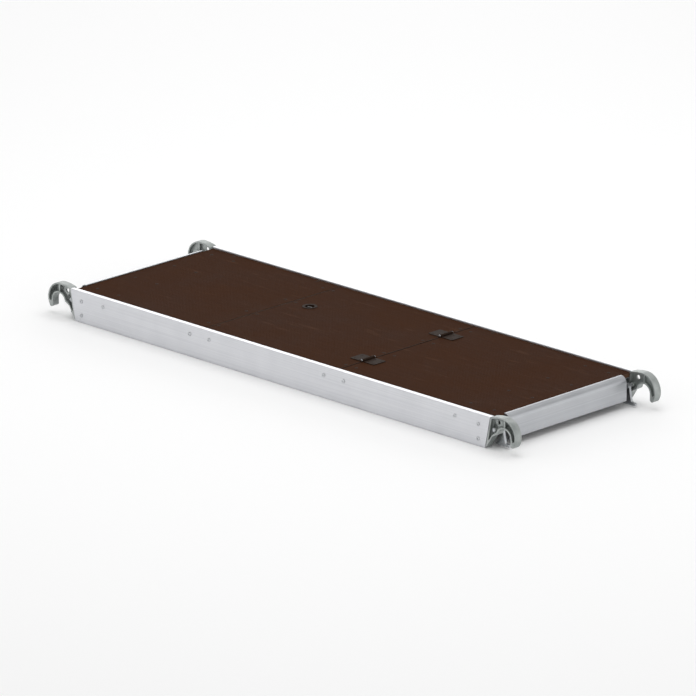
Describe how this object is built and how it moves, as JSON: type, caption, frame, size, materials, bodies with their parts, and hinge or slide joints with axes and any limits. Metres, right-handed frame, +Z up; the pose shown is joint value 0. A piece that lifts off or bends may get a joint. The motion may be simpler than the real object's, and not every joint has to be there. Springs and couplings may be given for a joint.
{
  "type": "scaffold platform",
  "caption": "Framed scaffold plank of film-faced plywood and aluminium, with a trapdoor and hook claws at its corners.",
  "frame": {"origin": "bottom centre: under the middle of the plank, level with the undersides of the side beams", "axes": "+X along the plank towards the trapdoor's hinge end, +Y across it to the rear, +Z up"},
  "size_m": [1.892, 0.606, 0.102],
  "materials": {
    "extruded_aluminium": "mill-finish extrusion, satin",
    "cast_aluminium": "die cast, matt",
    "film_faced_plywood": "dark brown phenolic film, low sheen",
    "zinc_plated_steel": "zinc plated",
    "spring_steel": "bright wire",
    "dark_coated_steel": "dark powder coat, matt",
    "rivet_aluminium": "drawn, smooth"
  },
  "bodies": {
    "frame": {"side_beam_front": "extruded_aluminium", "side_beam_rear": "extruded_aluminium", "cross_bearer_left": "extruded_aluminium", "cross_bearer_hatch_left": "extruded_aluminium", "cross_bearer_hatch_right": "extruded_aluminium", "cross_bearer_right": "extruded_aluminium", "end_profile_left": "extruded_aluminium", "end_profile_right": "extruded_aluminium", "deck_board_left": "film_faced_plywood", "deck_board_right": "film_faced_plywood", "hinge_fixed_leaf_front": "dark_coated_steel", "hinge_pin_front": "zinc_plated_steel", "hinge_fixed_leaf_rear": "dark_coated_steel", "hinge_pin_rear": "zinc_plated_steel", "claw_left_front": "cast_aluminium", "latch_pin_left_front": "zinc_plated_steel", "claw_rivet_upper_left_front": "rivet_aluminium", "claw_rivet_lower_left_front": "rivet_aluminium", "claw_right_front": "cast_aluminium", "latch_pin_right_front": "zinc_plated_steel", "claw_rivet_upper_right_front": "rivet_aluminium", "claw_rivet_lower_right_front": "rivet_aluminium", "claw_left_rear": "cast_aluminium", "latch_pin_left_rear": "zinc_plated_steel", "claw_rivet_upper_left_rear": "rivet_aluminium", "claw_rivet_lower_left_rear": "rivet_aluminium", "claw_right_rear": "cast_aluminium", "latch_pin_right_rear": "zinc_plated_steel", "claw_rivet_upper_right_rear": "rivet_aluminium", "claw_rivet_lower_right_rear": "rivet_aluminium", "bearer_rivet_1_front": "rivet_aluminium", "bearer_rivet_2_front": "rivet_aluminium", "bearer_rivet_3_front": "rivet_aluminium", "bearer_rivet_4_front": "rivet_aluminium", "bearer_rivet_5_front": "rivet_aluminium", "bearer_rivet_6_front": "rivet_aluminium", "bearer_rivet_1_rear": "rivet_aluminium", "bearer_rivet_2_rear": "rivet_aluminium", "bearer_rivet_3_rear": "rivet_aluminium", "bearer_rivet_4_rear": "rivet_aluminium", "bearer_rivet_5_rear": "rivet_aluminium", "bearer_rivet_6_rear": "rivet_aluminium"},
    "hatch": {"hatch_board": "film_faced_plywood", "hatch_edge_left": "dark_coated_steel", "hatch_edge_right": "dark_coated_steel", "hinge_moving_leaf_front": "dark_coated_steel", "hinge_moving_leaf_rear": "dark_coated_steel", "latch_cup": "dark_coated_steel"},
    "hatch_latch": {"latch_grip_spindle": "zinc_plated_steel", "latch_tongue": "zinc_plated_steel", "latch_nut": "zinc_plated_steel"},
    "lift_latch_left_front_lever": {"lift_latch_left_front": "zinc_plated_steel", "latch_spring_left_front": "spring_steel"},
    "lift_latch_right_front_lever": {"lift_latch_right_front": "zinc_plated_steel", "latch_spring_right_front": "spring_steel"},
    "lift_latch_left_rear_lever": {"lift_latch_left_rear": "zinc_plated_steel", "latch_spring_left_rear": "spring_steel"},
    "lift_latch_right_rear_lever": {"lift_latch_right_rear": "zinc_plated_steel", "latch_spring_right_rear": "spring_steel"}
  },
  "joints": [
    {"name": "hatch_hinge", "type": "hinge", "parent": "frame", "child": "hatch", "pos_m": [0.235, 0, 0.0946], "axis": [0, 1, 0], "range_deg": [0, 180]},
    {"name": "hatch_latch_turn", "type": "hinge", "parent": "hatch", "child": "hatch_latch", "pos_m": [-0.237, 0.079, 0.075], "axis": [0, 0, -1], "range_deg": [0, 90]},
    {"name": "lift_latch_left_front_pivot", "type": "hinge", "parent": "frame", "child": "lift_latch_left_front_lever", "pos_m": [-0.855, -0.259, 0.057], "axis": [0, -1, 0], "range_deg": [0, 25], "stiffness_Nm_per_rad": 0.3, "springref_deg": -20.05},
    {"name": "lift_latch_right_front_pivot", "type": "hinge", "parent": "frame", "child": "lift_latch_right_front_lever", "pos_m": [0.855, -0.259, 0.057], "axis": [0, 1, 0], "range_deg": [0, 25], "stiffness_Nm_per_rad": 0.3, "springref_deg": -20.05},
    {"name": "lift_latch_left_rear_pivot", "type": "hinge", "parent": "frame", "child": "lift_latch_left_rear_lever", "pos_m": [-0.855, 0.259, 0.057], "axis": [0, -1, 0], "range_deg": [0, 25], "stiffness_Nm_per_rad": 0.3, "springref_deg": -20.05},
    {"name": "lift_latch_right_rear_pivot", "type": "hinge", "parent": "frame", "child": "lift_latch_right_rear_lever", "pos_m": [0.855, 0.259, 0.057], "axis": [0, 1, 0], "range_deg": [0, 25], "stiffness_Nm_per_rad": 0.3, "springref_deg": -20.05}
  ]
}
